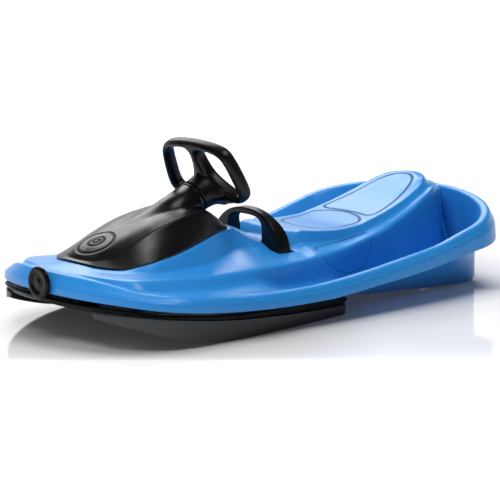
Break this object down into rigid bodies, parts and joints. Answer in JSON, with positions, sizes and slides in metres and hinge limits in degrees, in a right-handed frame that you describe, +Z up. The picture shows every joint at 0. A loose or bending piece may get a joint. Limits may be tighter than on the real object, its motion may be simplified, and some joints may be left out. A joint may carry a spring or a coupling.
{
  "type": "steerable snow sled",
  "caption": "Two-seat plastic snow sled with a steering wheel, a pivoting front ski on runners, a lever brake and a retracting tow handle.",
  "frame": {"origin": "centre of the outline seen from above, at the height of the runners' undersides", "axes": "+Z up, -Y towards the nose, +X towards the rider's left"},
  "size_m": [0.544, 1.112, 0.3582],
  "materials": {
    "blue_plastic": "glossy",
    "black_plastic": "satin",
    "dark_grey_plastic": "satin",
    "grey_nylon": "satin",
    "plated_steel": "zinc plated"
  },
  "bodies": {
    "sled": {"hull_shell": "blue_plastic", "front_hood": "black_plastic", "column_shroud": "black_plastic", "column_bush_upper": "grey_nylon", "column_bush_lower": "grey_nylon", "hood_screw_1": "plated_steel", "hood_screw_2": "plated_steel", "hood_screw_3": "plated_steel", "hood_screw_4": "plated_steel", "king_pin": "plated_steel", "king_pin_bush": "grey_nylon", "king_pin_washer": "plated_steel", "king_pin_nut": "plated_steel", "brake_bracket_left": "grey_nylon", "brake_bracket_right": "grey_nylon", "brake_spring": "plated_steel", "cord_guide": "black_plastic", "reel_case": "black_plastic", "reel_lid": "black_plastic"},
    "steering": {"steering_wheel": "black_plastic", "wheel_cap": "black_plastic", "wheel_nut": "plated_steel", "steering_shaft": "plated_steel", "crank_arm": "plated_steel"},
    "ski": {"front_ski": "black_plastic", "runner_left": "dark_grey_plastic", "runner_right": "dark_grey_plastic", "steering_fork": "plated_steel"},
    "brake": {"brake_handle": "black_plastic", "brake_axle": "plated_steel", "brake_claw": "plated_steel"},
    "tow": {"tow_handle": "black_plastic"},
    "reel": {"reel_spool": "grey_nylon"}
  },
  "joints": [
    {"name": "ski_swivel", "type": "hinge", "parent": "sled", "child": "ski", "pos_m": [0, -0.428, 0.08], "axis": [0, 0, 1], "range_deg": [-6, 6]},
    {"name": "wheel_turn", "type": "hinge", "parent": "sled", "child": "steering", "pos_m": [0, -0.164, 0.238], "axis": [0, 0.9063, 0.4226], "range_deg": [-30, 30]},
    {"name": "brake_pull", "type": "hinge", "parent": "sled", "child": "brake", "pos_m": [0, -0.008, 0.105], "axis": [-1, 0, 0], "range_deg": [0, 15], "stiffness_Nm_per_rad": 2, "springref_deg": -20.05},
    {"name": "tow_pull", "type": "slide", "parent": "sled", "child": "tow", "axis": [0, -1, 0], "range_m": [0, 0.03], "stiffness_N_per_m": 30, "springref_m": -0.05},
    {"name": "reel_turn", "type": "hinge", "parent": "sled", "child": "reel", "pos_m": [0, -0.368, 0.11], "axis": [0, 0, -1], "range_deg": [0, 86]}
  ],
  "couplings": [
    {"joint": "wheel_turn", "follows": "ski_swivel", "ratio": 5},
    {"joint": "reel_turn", "follows": "tow_pull", "rad_per_m": 50}
  ]
}
